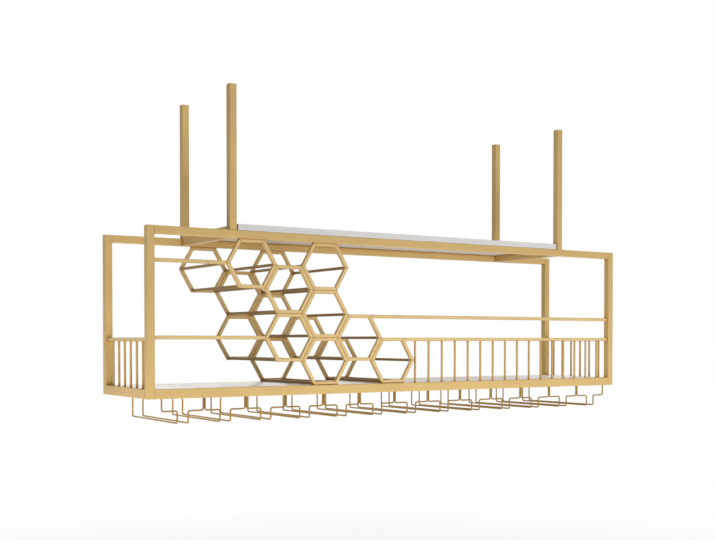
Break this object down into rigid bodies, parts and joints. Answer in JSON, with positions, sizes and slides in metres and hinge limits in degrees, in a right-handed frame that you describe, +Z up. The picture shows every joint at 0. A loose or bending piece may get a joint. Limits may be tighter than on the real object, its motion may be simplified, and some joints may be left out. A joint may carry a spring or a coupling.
{
  "type": "hanging wine rack",
  "caption": "Ceiling-hung metal wine rack with hexagonal bottle cells, top board, railed shelf and wire channels for stemmed glasses.",
  "frame": {"origin": "centre of the ceiling fixing, level with the tops of the four hangers", "axes": "+Z up, -Y to the front, +X to the right seen from the front"},
  "size_m": [1.49, 0.298, 0.8079],
  "materials": {
    "gold_paint": "satin",
    "gold_bars": "satin",
    "gold_wire": "satin",
    "pale_board": "satin laminate",
    "zinc_steel": "zinc plated"
  },
  "bodies": {
    "root": {"bar_middle_left": "gold_bars", "bar_upper_left": "gold_bars", "bar_upper_right": "gold_bars", "board_stop_left": "gold_paint", "board_stop_right": "gold_paint", "bottom_rail_front": "gold_paint", "bottom_rail_left": "gold_paint", "bottom_rail_rear": "gold_paint", "bottom_rail_right": "gold_paint", "bottom_shelf": "pale_board", "cell_1_front_ring": "gold_bars", "cell_1_rear_ring": "gold_bars", "cell_1_spacers": "gold_bars", "cell_2_front_ring": "gold_bars", "cell_2_rear_ring": "gold_bars", "cell_2_spacers": "gold_bars", "cell_3_front_ring": "gold_bars", "cell_3_rear_ring": "gold_bars", "cell_3_spacers": "gold_bars", "cell_4_front_ring": "gold_bars", "cell_4_rear_ring": "gold_bars", "cell_4_spacers": "gold_bars", "cell_5_front_ring": "gold_bars", "cell_5_rear_ring": "gold_bars", "cell_5_spacers": "gold_bars", "cell_6_front_ring": "gold_bars", "cell_6_rear_ring": "gold_bars", "cell_6_spacers": "gold_bars", "cell_7_front_ring": "gold_bars", "cell_7_rear_ring": "gold_bars", "cell_7_spacers": "gold_bars", "cell_8_front_ring": "gold_bars", "cell_8_rear_ring": "gold_bars", "cell_8_spacers": "gold_bars", "cross_rail_left": "gold_paint", "cross_rail_right": "gold_paint", "glass_wires_left_hand": "gold_wire", "glass_wires_right_hand": "gold_wire", "hanger_front_left": "gold_paint", "hanger_front_right": "gold_paint", "hanger_plugs": "zinc_steel", "hanger_rear_left": "gold_paint", "hanger_rear_right": "gold_paint", "post_end_caps": "gold_paint", "post_front_left": "gold_paint", "post_front_right": "gold_paint", "post_rear_left": "gold_paint", "post_rear_right": "gold_paint", "railing_front_balusters": "gold_bars", "railing_front_bar": "gold_bars", "railing_left_balusters": "gold_bars", "railing_left_bar": "gold_bars", "railing_right_balusters": "gold_bars", "railing_right_bar": "gold_bars", "shelf_supports": "gold_paint", "top_board": "pale_board", "top_rail_front": "gold_paint", "top_rail_rear": "gold_paint"}
  },
  "joints": []
}
